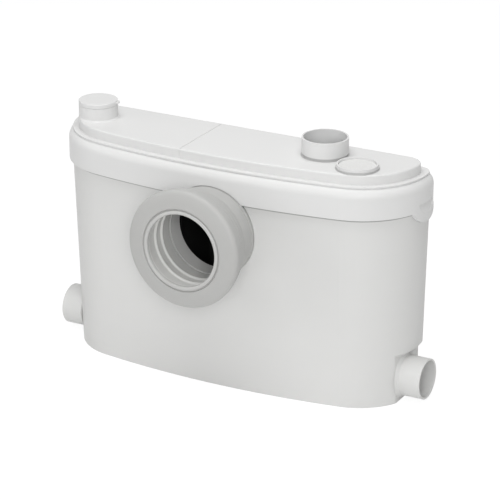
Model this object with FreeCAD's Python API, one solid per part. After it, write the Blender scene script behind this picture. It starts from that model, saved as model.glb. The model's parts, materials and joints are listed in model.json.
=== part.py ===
import FreeCAD, Part
import math
import os

# Slim lifting pump for pan and grey water. Millimetres, +Z up, floor at z = 0.
# X runs along the tank, the pan inlet faces -Y, and the origin is the middle of the base.

# Tank: a D-shaped box with a flat back, a bowed front and round ends
lid_length = 426.0
lid_overhang = 4.1
lid_back_overhang = 2.5
tank_depth = 108.8
seam_height = 216.0
base_taper = 6.65
bow_radius = 915.0
end_radius = 76.0
back_corner_radius = 16.2
tank_wall = 3.0
rim_inset = 1.0
rim_wall = 2.0
rim_height = 24.0

half_length = lid_length / 2 - lid_overhang
front_y = -tank_depth / 2
back_y = tank_depth / 2
rim_top = seam_height + rim_height

# Side recesses low on both ends, with a chamfered overhang
recess_depth = 14.9
recess_height = 56.5
recess_chamfer = 11.5
recess_edge_radius = 5.0
recess_roof = 3.0

# Side inlets: a socket for a 40 mm waste pipe, moulded on each recess face
spigot_y = 20.0
spigot_height = 26.2
spigot_radius = 22.2
spigot_reach = 27.2
socket_radius = 20.15
socket_depth = 24.0
throat_radius = 17.5
collar_radius = 25.5
collar_length = 3.2

# Pan inlet through the front wall
inlet_x = 2.0
inlet_height = 180.5
collar_bore = 44.8
collar_wall = 3.0
collar_front = 10.0
collar_inside = 6.4
seat_radius = 50.5
seat_proud = 0.1
sleeve_fit = 0.2

# Lid
skirt_wall = 2.5
skirt_height = 35.0
plateau_rise = 10.9
plateau_inset = 6.9
plateau_back_inset = 7.0
plateau_corner_radius = 20.0
ledge_inset = 0.5
ledge_drop = 2.8
ledge_groove_height = 1.2
ledge_groove_depth = 0.8
lid_wall = 2.5
shoulder_radius = 12.0
ceiling_radius = 7.0
plateau_edge_radius = 1.8
notch_clearance = 0.5
crease_x = -41.0
crease_width = 0.9
crease_depth = 0.45

# Snap lugs on both ends of the skirt
lug_y = 26.5
lug_half_width = 23.0
lug_drop = 14.0
scoop_half_width = 15.0
scoop_rise = 8.0
scoop_height = 12.0
scoop_depth = 2.0
lug_pad = 1.3
lug_pad_rise = 1.5

# Lid gasket
gasket_height = 3.0
gasket_spread = 0.4

# Rings on the lid
discharge_x = 101.6
discharge_y = 10.5
discharge_radius = 24.9
discharge_wall = 1.8
discharge_height = 19.9
discharge_neck = 0.8
discharge_neck_height = 3.3
vent_from_end = 58.9
vent_y = -11.7
vent_radius = 21.8
vent_wall = 1.7
vent_height = 5.1
vent_recess = 4.5
filter_drop = 2.2
vent_hole_radius = 10.0
vent_step = 0.9
vent_step_height = 2.6
top_inlet_from_end = 37.3
top_inlet_y = 4.6
top_inlet_radius = 21.3
top_inlet_shoulder_height = 14.7
top_inlet_neck_radius = 19.0
top_inlet_wall = 2.8
top_inlet_height = 16.9
ring_foot = 1.6
foot_margin = 0.4
socket_drop = 5.9

# Cap on the top inlet
cap_gap = 0.3
cap_height = 19.7
cap_edge_radius = 1.0
tab_reach = 3.0
tab_width = 8.0
tab_angle = 15.0
tab_thickness = 1.8

# Rubber pan sleeve, stretched over the collar and folded back into itself
sleeve_wall = 3.0
sleeve_band_length = 12.0
sleeve_band_radius = 52.3
sleeve_waist_radius = 53.6
sleeve_waist_length = 26.4
sleeve_shoulder_radius = 61.4
sleeve_shoulder_length = 45.6
sleeve_dome_radius = 64.9
sleeve_dome_length = 60.9
sleeve_length = 67.6
lip_radius = 45.0
lip_bore = 41.6
lip_bore_length = 5.0
throat_sleeve_radius = 45.2
rib_height = 2.0
rib_positions = (26.0, 39.0)

# Drive column: motor above, cutter in the basket, pump below
motor_x = 92.0
motor_radius = 38.0
motor_wall = 2.0
motor_bottom = 118.0
end_plate_thickness = 5.0
stator_radius = 35.6
stator_bore = 22.0
stator_bottom = 134.0
stator_headroom = 18.0
winding_height = 8.0
rotor_gap = 0.6
shaft_radius = 5.0
running_fit = 0.04
bearing_radius = 13.0
bearing_height = 8.0
seal_radius = 11.0

# Pump under the basket
foot_radius = 6.0
foot_circle = 28.0
foot_height = 5.0
volute_radius = 38.0
volute_wall = 3.0
volute_height = 28.0
suction_radius = 14.0
impeller_radius = 31.0
impeller_height = 14.0
vane_count = 6
vane_thickness = 2.4
cover_thickness = 4.0
cover_boss = 16.0
screw_head_radius = 3.6
screw_head_height = 2.4

# Bracket between the pump cover and the motor
pillar_radius = 4.0
pillar_offset = 27.0
bracket_thickness = 5.0

# Cutter
blade_reach = 30.0
blade_width = 12.0
blade_thickness = 2.5
blade_height = 66.0
blade_drop = 8.0
blade_hub_drop = 6.0
hub_radius = 9.0

# Basket
basket_left = -54.0
basket_right = 128.0
basket_front = -35.0
basket_back = 41.0
basket_wall = 2.5
basket_floor = 44.0
basket_rim = 104.0
splash_drop = 34.0
doorway_rise = 22.0
floor_slot_length = 24.0
basket_corner = 10.0
slot_width = 5.0
slot_pitch = 15.0

# Discharge line
riser_x = 148.0
pipe_radius = 13.0
pipe_wall = 2.2
nozzle_height = 22.0
valve_radius = 17.5
valve_bottom = 62.0
valve_top = 98.0
crossover_drop = 14.0
crossover_gap = 7.0
bend_radius = 16.0
socket_flange_radius = 24.0
sleeve_length_riser = 24.0
sleeve_thickness = 2.6
clip_width = 6.0
clip_thickness = 1.0

# Flap valves
flap_radius = 21.0
flap_thickness = 2.0
flap_gap = 0.3
flap_boss_radius = 12.0
flap_boss = 6.0
pin_radius = 1.5
flap_knuckle_radius = 2.6
ear_radius = 3.2
knuckle_length = 16.0
ear_thickness = 4.0
ear_gap = 0.4
pivot_rise = 25.5

# Level switch on a service deck under the left half of the lid
deck_left = -146.0
deck_right = -57.0
deck_front = -37.0
deck_back = 42.0
deck_screw_left = 10.0
deck_screw_right = 5.0
deck_screw_edge = 5.0
deck_drop = 11.0
deck_thickness = 3.0
chamber_x = -92.0
chamber_y = 16.0
tube_radius = 13.0
tube_wall = 2.0
tube_bottom = 14.0
chamber_radius = 24.0
chamber_height = 12.0
membrane_thickness = 1.4
plunger_radius = 4.0
plunger_flange_radius = 9.0
plunger_tip_radius = 1.5
plunger_tip = 2.0
spring_radius = 6.2
spring_wire = 0.6
spring_sides = 8
spring_turns = 4
frame_height = 15.0
lever_length = 20.0
lever_thickness = 1.0
lever_width = 5.0
lever_gap = 0.3

# Electrical parts and cable gland
capacitor_radius = 12.0
capacitor_length = 44.0
capacitor_x = -128.0
strap_thickness = 1.6
strap_foot = 2.4
clip_half_width = 5.0
capacitor_y = -21.0
terminal_x = -130.0
terminal_y = 18.0
terminal_length = 26.0
terminal_width = 16.0
terminal_height = 12.0
gland_x = -110.0
gland_height = 190.0
gland_radius = 7.0
gland_flange_radius = 10.0
gland_flange = 2.0
cable_radius = 3.6


def box(x0, x1, y0, y1, z0, z1):
    return Part.makeBox(x1 - x0, y1 - y0, z1 - z0, FreeCAD.Vector(x0, y0, z0))


def cylinder(radius, z0, z1, x=0.0, y=0.0):
    return Part.makeCylinder(radius, z1 - z0, FreeCAD.Vector(x, y, z0))


def tube(outer, inner, z0, z1, x=0.0, y=0.0):
    return cylinder(outer, z0, z1, x, y).cut(cylinder(inner, z0 - 1, z1 + 1, x, y))


def rod_x(radius, x0, x1, y, z):
    axis = FreeCAD.Vector(1, 0, 0)
    return Part.makeCylinder(radius, x1 - x0, FreeCAD.Vector(x0, y, z), axis)


def rod_y(radius, y0, y1, x, z):
    axis = FreeCAD.Vector(0, 1, 0)
    return Part.makeCylinder(radius, y1 - y0, FreeCAD.Vector(x, y0, z), axis)


def fuse(*shapes):
    solid = shapes[0]
    for other in shapes[1:]:
        solid = solid.fuse(other)
    return solid.removeSplitter()


def arc(centre_x, centre_y, radius, start, end, z):
    def point(angle):
        x = centre_x + radius * math.cos(angle)
        y = centre_y + radius * math.sin(angle)
        return FreeCAD.Vector(x, y, z)
    return Part.Arc(point(start), point((start + end) / 2), point(end)).toShape()


def end_arc_centre():
    """Centre of the right end arc, which meets the front bow smoothly."""
    x = half_length - end_radius
    bow_y = front_y + bow_radius
    y = bow_y - math.sqrt((bow_radius - end_radius) ** 2 - x ** 2)
    return x, y


def plan_wire(side, back, z, corner=None):
    """The D outline, drawn in by side at the front and ends and by back at the back."""
    end_x, end_y = end_arc_centre()
    bow_y = front_y + bow_radius
    turn = math.atan2(end_y - bow_y, end_x)
    corner = corner or back_corner_radius - side
    corner_y = back_y - back - corner
    spread = end_radius - side - corner
    meet = math.asin((corner_y - end_y) / spread)
    corner_x = end_x + spread * math.cos(meet)
    end_arc = end_radius - side
    start = FreeCAD.Vector(corner_x, back_y - back, z)
    end = FreeCAD.Vector(-corner_x, back_y - back, z)
    half_turn = math.pi
    edges = [arc(0, bow_y, bow_radius - side, -half_turn - turn, turn, z),
             arc(end_x, end_y, end_arc, turn, meet, z),
             arc(corner_x, corner_y, corner, meet, half_turn / 2, z),
             Part.LineSegment(start, end).toShape(),
             arc(-corner_x, corner_y, corner, half_turn / 2, half_turn - meet, z),
             arc(-end_x, end_y, end_arc, -half_turn - meet, -half_turn - turn, z)]
    return Part.Wire(edges)


def plan_slab(side, back, z0, z1, corner=None):
    face = Part.Face(plan_wire(side, back, z0, corner))
    return face.extrude(FreeCAD.Vector(0, 0, z1 - z0))


def plan_loft(side0, z0, side1, z1, back):
    wires = [plan_wire(side0, back, z0), plan_wire(side1, back, z1)]
    return Part.makeLoft(wires, True, True)


def plan_band(outer, inner, z0, z1):
    """A strip that follows the outline between two insets."""
    return plan_slab(outer, outer, z0, z1).cut(plan_slab(inner, inner, z0 - 1, z1 + 1))


def taper_at(z):
    return base_taper * (seam_height - z) / seam_height


def front_face_y(x, z):
    """The outside of the tank's front wall."""
    bow_y = front_y + bow_radius
    return bow_y - math.sqrt((bow_radius - taper_at(z)) ** 2 - x ** 2)


def round_top(solid, z, radius):
    edges = [e for e in solid.Edges
             if abs(e.BoundBox.ZMin - z) < 1e-6 and abs(e.BoundBox.ZMax - z) < 1e-6]
    return solid.makeFillet(radius, edges)


def ring_of(shape_at, count, radius, x, y, start=0.0):
    shapes = []
    for index in range(count):
        angle = start + 2 * math.pi * index / count
        shapes.append(shape_at(x + radius * math.cos(angle), y + radius * math.sin(angle)))
    return shapes


def turned(points, x, y, z):
    """A body turned from (radius, along) points about an axis along Y through x, y, z."""
    vectors = [FreeCAD.Vector(x + radius, y + along, z) for radius, along in points]
    face = Part.Face(Part.makePolygon(vectors + [vectors[0]]))
    return face.revolve(FreeCAD.Vector(x, y, z), FreeCAD.Vector(0, 1, 0), 360)


# Positions that follow from the values above
ledge_height = seam_height + skirt_height
plateau_height = ledge_height + plateau_rise
discharge_top = plateau_height + discharge_height
vent_x = half_length - vent_from_end
vent_top = plateau_height + vent_height
top_inlet_x = top_inlet_from_end - half_length
top_inlet_shoulder = plateau_height + top_inlet_shoulder_height
top_inlet_top = plateau_height + top_inlet_height
cap_top = plateau_height + cap_height
socket_bottom = plateau_height - socket_drop
crossover_height = socket_bottom - crossover_drop - bend_radius
motor_top = crossover_height - pipe_radius - crossover_gap
stator_height = motor_top - stator_headroom - winding_height - stator_bottom
splash_top = rim_top - splash_drop
deck_height = seam_height - deck_drop
recess_x = half_length - recess_depth
sleeve_seat_y = front_y - seat_proud
collar_outer = collar_bore + collar_wall
notch_radius = seat_radius + notch_clearance
spigot_tip = recess_x + spigot_reach
socket_end = spigot_tip - socket_depth
end_wall_x = recess_x - tank_wall
lug_radius = (lug_half_width ** 2 + lug_drop ** 2) / (2 * lug_drop)
cover_z = tank_wall + foot_height + volute_height
volute_z = tank_wall + foot_height
bracket_z = motor_bottom - end_plate_thickness - bracket_thickness
chamber_z = deck_height + deck_thickness
frame_z = chamber_z + chamber_height
pivot_z = spigot_height + pivot_rise
flap_x = end_wall_x - flap_gap
pivot_x = end_wall_x - flap_knuckle_radius - flap_gap
valve_seat_z = valve_bottom + 8.0
gasket_top = rim_top + gasket_height
lever_z = frame_z + frame_height + 1 + plunger_tip + lever_gap
lever_pivot_x = chamber_x - lever_length
valve_pivot_x = riser_x - valve_radius + pipe_wall + 2.6
valve_pivot_z = valve_seat_z + 2.4


def spigot(side):
    pipe = rod_x(spigot_radius, end_wall_x, spigot_tip, spigot_y, spigot_height)
    foot = Part.makeCone(collar_radius, spigot_radius, collar_length,
                         FreeCAD.Vector(recess_x, spigot_y, spigot_height),
                         FreeCAD.Vector(1, 0, 0))
    solid = pipe.fuse(foot)
    return solid if side > 0 else mirrored(solid)


def spigot_bore(side):
    socket = rod_x(socket_radius, socket_end, spigot_tip + 1, spigot_y, spigot_height)
    throat = rod_x(throat_radius, end_wall_x - 1, socket_end + 1, spigot_y, spigot_height)
    solid = socket.fuse(throat)
    return solid if side > 0 else mirrored(solid)


def mirrored(solid):
    return solid.mirror(FreeCAD.Vector(0, 0, 0), FreeCAD.Vector(1, 0, 0))


def recess_tool():
    """Space taken out of the right end, under an overhang that slopes to the outer wall."""
    tool = box(recess_x, half_length + 20, front_y - 20, back_y + 20, -1, recess_height)
    low = recess_height - recess_chamfer
    top_inset = taper_at(recess_height)
    roof = plan_loft(half_length - recess_x, low, top_inset, recess_height, -5.0)
    return tool.cut(roof)


def soft_recess_edges(solid):
    """Rounds the upright edge where each recess face meets the bowed front."""
    edges = [e for e in solid.Edges
             if abs(abs(e.BoundBox.XMin) - recess_x) < 1e-3
             and abs(abs(e.BoundBox.XMax) - recess_x) < 1e-3
             and e.BoundBox.YMax < spigot_y and abs(e.BoundBox.ZMin) < 1e-3]
    return solid.makeFillet(recess_edge_radius, edges)


def flap_ears():
    """Two lugs inside the right end wall that hold a flap's pin."""
    ears = []
    reach = knuckle_length / 2 + ear_gap
    for y0 in (spigot_y - reach - ear_thickness, spigot_y + reach):
        ear = box(pivot_x - ear_radius, end_wall_x + 1, y0, y0 + ear_thickness,
                  pivot_z - ear_radius, pivot_z + ear_radius)
        ears.append(ear.cut(rod_y(pin_radius, y0 - 1, y0 + ear_thickness + 1, pivot_x, pivot_z)))
    return ears


def tank():
    outer = plan_loft(base_taper, 0, 0, seam_height, 0)
    outer = outer.fuse(plan_slab(rim_inset, rim_inset, seam_height, rim_top))
    tool = recess_tool()
    outer = outer.cut(tool).cut(mirrored(tool))
    outer = soft_recess_edges(outer)
    inner_low = taper_at(tank_wall) + tank_wall
    cavity = plan_loft(inner_low, tank_wall, tank_wall, seam_height, tank_wall)
    cavity = cavity.fuse(plan_slab(rim_inset + rim_wall, rim_inset + rim_wall,
                                   seam_height, rim_top + 1))
    step = box(end_wall_x, half_length + 20, front_y, back_y, 0, recess_height + recess_roof)
    cavity = cavity.cut(step).cut(mirrored(step))
    solid = outer.cut(cavity)
    seat = rod_y(seat_radius, sleeve_seat_y, front_y + tank_wall + 2, inlet_x, inlet_height)
    seat_front = box(-half_length, half_length, front_y - 20, back_y, 0, rim_top)
    seat_front = seat_front.cut(cavity)
    seat = seat.common(seat_front)
    collar = rod_y(collar_outer, sleeve_seat_y - collar_front, front_y + tank_wall + collar_inside,
                   inlet_x, inlet_height)
    solid = solid.fuse(seat).fuse(collar)
    solid = solid.cut(rod_y(collar_bore, sleeve_seat_y - collar_front - 1,
                            front_y + tank_wall + collar_inside + 1, inlet_x, inlet_height))
    for side in (1, -1):
        solid = solid.fuse(spigot(side)).cut(spigot_bore(side))
        for ear in flap_ears():
            solid = solid.fuse(ear if side > 0 else mirrored(ear))
    for post in deck_posts():
        solid = solid.fuse(post)
    solid = solid.cut(rod_y(gland_radius, back_y - 10, back_y + 10, gland_x, gland_height))
    return solid.removeSplitter()


def deck_posts():
    """Ledges on the back and front walls that carry the service deck."""
    top = deck_height
    low = top - 14
    posts = []
    for x in (deck_left + deck_screw_left, deck_right - deck_screw_right):
        posts.append(box(x - 6, x + 6, deck_back - 10, back_y - tank_wall / 2, low, top))
        wall_y = front_face_y(x, low) + tank_wall / 2
        posts.append(box(x - 6, x + 6, wall_y, deck_front + 10, low, top))
    return posts


def lid():
    ledge_foot = ledge_height - ledge_drop
    skirt = soft_shoulder(ledge_foot)
    skirt = skirt.fuse(ledge_slab(ledge_inset, ledge_foot - 1, ledge_height))
    skirt = skirt.cut(ledge_groove(ledge_foot))
    plateau = plan_slab(plateau_inset, plateau_back_inset, ledge_height - 1, plateau_height,
                        plateau_corner_radius)
    plateau = round_top(plateau, plateau_height, plateau_edge_radius)
    solid = skirt.fuse(plateau)
    solid = solid.fuse(lug_tongue(1)).fuse(lug_tongue(-1)).fuse(vent_ring())
    under = skirt_wall - lid_overhang
    ceiling = ledge_height - lid_wall
    hollow = plan_slab(under, skirt_wall - lid_back_overhang, seam_height - lug_drop - 5, ceiling)
    hollow = round_top(hollow, ceiling, ceiling_radius)
    raised = plan_slab(plateau_inset + lid_wall, plateau_back_inset + lid_wall,
                       ceiling - 1, plateau_height - lid_wall,
                       plateau_corner_radius - lid_wall)
    solid = solid.cut(hollow).cut(raised)
    solid = solid.fuse(discharge_ring()).fuse(top_inlet_ring())
    solid = solid.cut(cylinder(discharge_radius - discharge_wall, socket_bottom - 1,
                               discharge_top + 1, discharge_x, discharge_y))
    solid = solid.cut(cylinder(top_inlet_neck_radius - top_inlet_wall, socket_bottom - 1,
                               top_inlet_top + 1, top_inlet_x, top_inlet_y))
    solid = solid.fuse(plan_band(rim_inset - gasket_spread, rim_inset + rim_wall + gasket_spread,
                                 gasket_top, ceiling + 0.5))
    for side in (1, -1):
        solid = solid.fuse(lug_backing(side)).cut(lug_scoop(side))
    solid = solid.cut(cylinder(vent_radius - vent_wall, vent_top - vent_recess, vent_top + 1,
                               vent_x, vent_y))
    solid = solid.cut(cylinder(vent_hole_radius, ledge_height - 20, vent_top, vent_x, vent_y))
    solid = solid.cut(rod_y(notch_radius, front_y - 20, front_y + 15, inlet_x, inlet_height))
    crease = box(crease_x - crease_width / 2, crease_x + crease_width / 2, front_y, back_y + 20,
                 plateau_height - crease_depth, plateau_height + 1)
    riser_y = front_face_y(crease_x, seam_height) + plateau_inset
    drop = box(crease_x - crease_width / 2, crease_x + crease_width / 2, riser_y - 2,
               riser_y + crease_depth, ledge_height, plateau_height)
    return solid.cut(crease).cut(drop).removeSplitter()


def soft_shoulder(top):
    """The skirt, with its upper edge drawn in by part of a wide arc that ends at the ledge."""
    width = ledge_inset + lid_overhang
    rise = math.sqrt(shoulder_radius ** 2 - (shoulder_radius - width) ** 2)
    arc_top = top - rise + shoulder_radius
    skirt = plan_slab(-lid_overhang, -lid_back_overhang, seam_height, arc_top)
    skirt = round_top(skirt, arc_top, shoulder_radius)
    return skirt.common(plan_slab(-lid_overhang - 1, -lid_back_overhang - 1, seam_height, top))


def ledge_slab(inset, low, high):
    """A level slice of the ledge, as far inside the skirt's face at the back as elsewhere."""
    return plan_slab(inset, inset + lid_overhang - lid_back_overhang, low, high)


def ledge_groove(low):
    """A fine shadow groove at the foot of the ledge's small step."""
    high = low + ledge_groove_height
    return ledge_slab(ledge_inset - 1, low, high).cut(
        ledge_slab(ledge_inset + ledge_groove_depth, low - 1, high + 1))


def on_plateau(foot):
    """A ring's foot, trimmed so that it stays on the raised part of the lid."""
    return foot.common(plan_slab(plateau_inset + foot_margin, plateau_back_inset + foot_margin,
                                 plateau_height - lid_wall, discharge_top,
                                 plateau_corner_radius - foot_margin))


def vent_ring():
    """The vent's ring, with a step round its foot."""
    ring = cylinder(vent_radius, plateau_height - lid_wall, vent_top, vent_x, vent_y)
    step = cylinder(vent_radius + vent_step, plateau_height - lid_wall,
                    plateau_height + vent_step_height, vent_x, vent_y)
    return fuse(ring, on_plateau(step))


def discharge_ring():
    """The discharge ring stands on a slightly narrower neck."""
    neck_top = plateau_height + discharge_neck_height
    neck = cylinder(discharge_radius - discharge_neck, socket_bottom, neck_top,
                    discharge_x, discharge_y)
    return fuse(neck, cylinder(discharge_radius, neck_top, discharge_top,
                               discharge_x, discharge_y))


def top_inlet_ring():
    """The capped inlet: a flared foot, a shoulder for the cap and a narrower neck."""
    x = top_inlet_x
    y = top_inlet_y
    flare = Part.makeCone(top_inlet_radius + ring_foot, top_inlet_radius, ring_foot,
                          FreeCAD.Vector(x, y, plateau_height))
    ring = cylinder(top_inlet_radius, socket_bottom, top_inlet_shoulder, x, y)
    neck = cylinder(top_inlet_neck_radius, socket_bottom, top_inlet_top, x, y)
    return fuse(ring, neck, on_plateau(flare))


def lug_tongue(side):
    """A round tongue of the skirt that reaches down past the seam."""
    band = plan_band(-lid_overhang, -lid_overhang + skirt_wall,
                     seam_height - lug_drop, seam_height)
    disc = rod_x(lug_radius, end_arc_centre()[0], half_length + 20, lug_y,
                 seam_height - lug_drop + lug_radius)
    tongue = band.common(disc)
    return tongue if side > 0 else mirrored(tongue)


def lug_zone(half_width, z0, z1):
    return box(end_arc_centre()[0], half_length + 20, lug_y - half_width, lug_y + half_width,
               z0, z1)


def lug_backing(side):
    under = -lid_overhang + skirt_wall
    low = seam_height + lug_pad_rise
    pad = plan_band(under - 0.5, under + lug_pad, low, seam_height + scoop_rise + 2)
    pad = pad.common(lug_zone(scoop_half_width + 2, low, rim_top))
    return pad if side > 0 else mirrored(pad)


def lug_scoop(side):
    """The finger recess above the tongue, deepest under its level roof."""
    roof = seam_height + scoop_rise
    low = roof - scoop_height
    zone = lug_zone(scoop_half_width, low, roof)
    kept = plan_loft(-lid_overhang, low, scoop_depth - lid_overhang, roof, -lid_back_overhang)
    bowl_radius = (scoop_half_width ** 2 + scoop_height ** 2) / (2 * scoop_height)
    bowl = rod_x(bowl_radius, end_arc_centre()[0], half_length + 20, lug_y, low + bowl_radius)
    scoop = zone.common(bowl).cut(kept)
    return scoop if side > 0 else mirrored(scoop)


def lid_gasket():
    return plan_band(rim_inset - gasket_spread, rim_inset + rim_wall + gasket_spread, rim_top,
                     gasket_top)


def vent_filter():
    radius = vent_radius - vent_wall - 0.3
    return cylinder(radius, vent_top - vent_recess, vent_top - filter_drop, vent_x, vent_y)


def inlet_cap():
    """The cap, flush with the ring below it, and its pull tab."""
    bore = top_inlet_neck_radius + cap_gap
    outer = top_inlet_radius
    low = top_inlet_shoulder + cap_gap
    body = cylinder(outer, low, cap_top)
    body = round_top(body, cap_top, cap_edge_radius)
    tab_top = cap_top - cap_edge_radius
    tip = outer + tab_reach - tab_width / 2
    tab = box(0, tip, -tab_width / 2, tab_width / 2, tab_top - tab_thickness, tab_top)
    tab = tab.fuse(cylinder(tab_width / 2, tab_top - tab_thickness, tab_top, tip))
    tab.rotate(FreeCAD.Vector(0, 0, 0), FreeCAD.Vector(0, 0, 1), tab_angle)
    solid = fuse(body, tab).cut(cylinder(bore, low - 1, top_inlet_top + cap_gap))
    solid.translate(FreeCAD.Vector(top_inlet_x, top_inlet_y, 0))
    return solid


def sleeve_outer():
    """Outer line of the sleeve from the tank to the lip, as radius and distance."""
    return [(seat_radius, 0),
            (seat_radius, sleeve_band_length - 1.2),
            (sleeve_band_radius, sleeve_band_length),
            (sleeve_waist_radius, sleeve_waist_length),
            (sleeve_waist_radius + 1.2, sleeve_waist_length + 1.2),
            (sleeve_shoulder_radius - 1.0, sleeve_shoulder_length - 1.4),
            (sleeve_shoulder_radius, sleeve_shoulder_length),
            (sleeve_dome_radius - 1.6, sleeve_dome_length - 9.0),
            (sleeve_dome_radius - 0.4, sleeve_dome_length - 4.0),
            (sleeve_dome_radius, sleeve_dome_length),
            (sleeve_dome_radius - 1.0, sleeve_dome_length + 2.4),
            (sleeve_dome_radius - 3.6, sleeve_dome_length + 4.4),
            (sleeve_dome_radius - 9.0, sleeve_dome_length + 5.9),
            (lip_radius + 4.5, sleeve_length - 0.9),
            (lip_radius + 1.6, sleeve_length - 1.5),
            (lip_radius + 0.7, sleeve_length - 1.2),
            (lip_radius, sleeve_length)]


def sleeve_inner():
    """Inner line of the sleeve, from the lip back to the tank."""
    bore = throat_sleeve_radius
    tail = collar_front + 1.4
    points = [(lip_bore + 1.0, sleeve_length),
              (lip_bore, sleeve_length - 1.0),
              (lip_bore, sleeve_length - 1.0 - lip_bore_length),
              (bore, sleeve_length - 9.5)]
    for place in rib_positions:
        along = sleeve_length - place
        points += [(bore, along + 2.0), (bore - rib_height, along + 0.6),
                   (bore - rib_height, along - 0.6), (bore, along - 2.0)]
    fold = bore + sleeve_wall - 0.4
    points += [(bore, tail), (fold, tail),
               (fold, sleeve_length - 9.0),
               (sleeve_dome_radius - 7.5, sleeve_dome_length + 2.8),
               (sleeve_dome_radius - sleeve_wall - 0.4, sleeve_dome_length - 1.5),
               (sleeve_dome_radius - sleeve_wall - 1.4, sleeve_dome_length - 8.0),
               (sleeve_shoulder_radius - sleeve_wall - 0.4, sleeve_shoulder_length + 0.6),
               (sleeve_waist_radius - sleeve_wall + 0.4, sleeve_waist_length + 1.6),
               (sleeve_band_radius - sleeve_wall + 0.3, sleeve_band_length + 1.4),
               (collar_outer + sleeve_fit, sleeve_band_length - 0.6),
               (collar_outer + sleeve_fit, 0)]
    return points


def pan_sleeve():
    points = [(r, -along) for r, along in sleeve_outer() + sleeve_inner()]
    return turned(points, inlet_x, sleeve_seat_y, inlet_height)


def pump_feet():
    def foot(x, y):
        return cylinder(foot_radius, tank_wall, volute_z, x, y)
    return Part.makeCompound(ring_of(foot, 4, foot_circle, motor_x, 0, math.pi / 4))


def volute():
    body = cylinder(volute_radius, volute_z, cover_z, motor_x)
    nozzle = rod_x(pipe_radius, motor_x + volute_radius - 12, riser_x - bend_radius, 0,
                   nozzle_height)
    solid = body.fuse(nozzle)
    solid = solid.cut(cylinder(volute_radius - volute_wall, volute_z + volute_wall, cover_z + 1,
                               motor_x))
    solid = solid.cut(cylinder(suction_radius, volute_z - 1, volute_z + volute_wall + 1, motor_x))
    solid = solid.cut(rod_x(pipe_radius - pipe_wall, motor_x + volute_radius - 16,
                            riser_x, 0, nozzle_height))

    def boss(x, y):
        return cylinder(4.0, volute_z + volute_wall - 0.5, cover_z, x, y)
    ring = fuse(*ring_of(boss, 4, volute_radius - volute_wall, motor_x, 0, math.pi / 4))
    ring = ring.common(cylinder(volute_radius, volute_z, cover_z, motor_x))
    keep_out = cylinder(impeller_radius + 1.0, volute_z, cover_z + 1, motor_x)
    solid = solid.fuse(ring.cut(keep_out))
    return solid.removeSplitter()


def pump_cover():
    solid = cylinder(volute_radius, cover_z, cover_z + cover_thickness, motor_x)
    boss = cylinder(cover_boss, cover_z, basket_floor, motor_x)
    return fuse(solid, boss).cut(cylinder(shaft_radius + 1.0, cover_z - 1, basket_floor + 1,
                                          motor_x))


def pump_screws():
    def screw(x, y):
        head = cylinder(screw_head_radius, cover_z + cover_thickness,
                        cover_z + cover_thickness + screw_head_height, x, y)
        return head
    radius = volute_radius - volute_wall - 1.5
    return Part.makeCompound(ring_of(screw, 4, radius, motor_x, 0, 0.0))


def pillar_places():
    return [(motor_x + dx, dy) for dx in (-pillar_offset, pillar_offset)
            for dy in (-pillar_offset, pillar_offset)]


def motor_bracket():
    top = bracket_z + bracket_thickness
    plate = cylinder(motor_radius, bracket_z, top, motor_x)
    solid = plate
    for x, y in pillar_places():
        solid = solid.fuse(cylinder(pillar_radius, basket_floor + basket_wall, top, x, y))
    solid = solid.cut(cylinder(seal_radius, bracket_z - 1, top + 1, motor_x))
    return solid.removeSplitter()


def shaft_seal():
    top = bracket_z + bracket_thickness
    return tube(seal_radius, shaft_radius + running_fit, bracket_z, top, motor_x)


def motor_end_plate():
    z0 = motor_bottom - end_plate_thickness
    plate = cylinder(motor_radius, z0, motor_bottom, motor_x)
    boss = cylinder(bearing_radius + 3, motor_bottom, motor_bottom + bearing_height, motor_x)
    solid = plate.fuse(boss)
    solid = solid.cut(cylinder(bearing_radius, motor_bottom, motor_bottom + bearing_height + 1,
                               motor_x))
    solid = solid.cut(cylinder(shaft_radius + 1.0, z0 - 1, motor_bottom + 1, motor_x))
    return solid.removeSplitter()


def lower_bearing():
    return tube(bearing_radius, shaft_radius + running_fit, motor_bottom,
                motor_bottom + bearing_height, motor_x)


def upper_bearing():
    top = motor_top - motor_wall - 4
    return tube(bearing_radius, shaft_radius + running_fit, top - bearing_height, top, motor_x)


def motor_can():
    outer = round_top(cylinder(motor_radius, motor_bottom, motor_top, motor_x), motor_top, 5.0)
    inner = cylinder(motor_radius - motor_wall, motor_bottom - 1, motor_top - motor_wall - 1,
                     motor_x)
    solid = outer.cut(inner)
    top = motor_top - motor_wall - 4
    boss = tube(bearing_radius + 3, bearing_radius, top - bearing_height, motor_top - motor_wall,
                motor_x)
    stop = cylinder(bearing_radius + 3, top, motor_top - motor_wall, motor_x)
    return solid.fuse(boss).fuse(stop).removeSplitter()


def stator():
    ring = tube(stator_radius, stator_bore, stator_bottom, stator_bottom + stator_height, motor_x)

    def slot(x, y):
        return cylinder(2.6, stator_bottom - 1, stator_bottom + stator_height + 1, x, y)
    for hole in ring_of(slot, 12, stator_bore + 4.6, motor_x, 0):
        ring = ring.cut(hole)
    return ring


def stator_windings():
    low = tube(stator_radius - 3, stator_bore + 1.5, stator_bottom - winding_height,
               stator_bottom, motor_x)
    top = stator_bottom + stator_height
    high = tube(stator_radius - 3, stator_bore + 1.5, top, top + winding_height, motor_x)

    def wire(x, y):
        return cylinder(2.2, stator_bottom - 1, top + 1, x, y)
    return fuse(low, high, *ring_of(wire, 12, stator_bore + 4.6, motor_x, 0))


def rotor_core():
    return tube(stator_bore - rotor_gap, shaft_radius, stator_bottom,
                stator_bottom + stator_height, motor_x)


def motor_shaft():
    low = volute_z + volute_wall + 2
    return cylinder(shaft_radius, low, motor_top - motor_wall - 5, motor_x)


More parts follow.
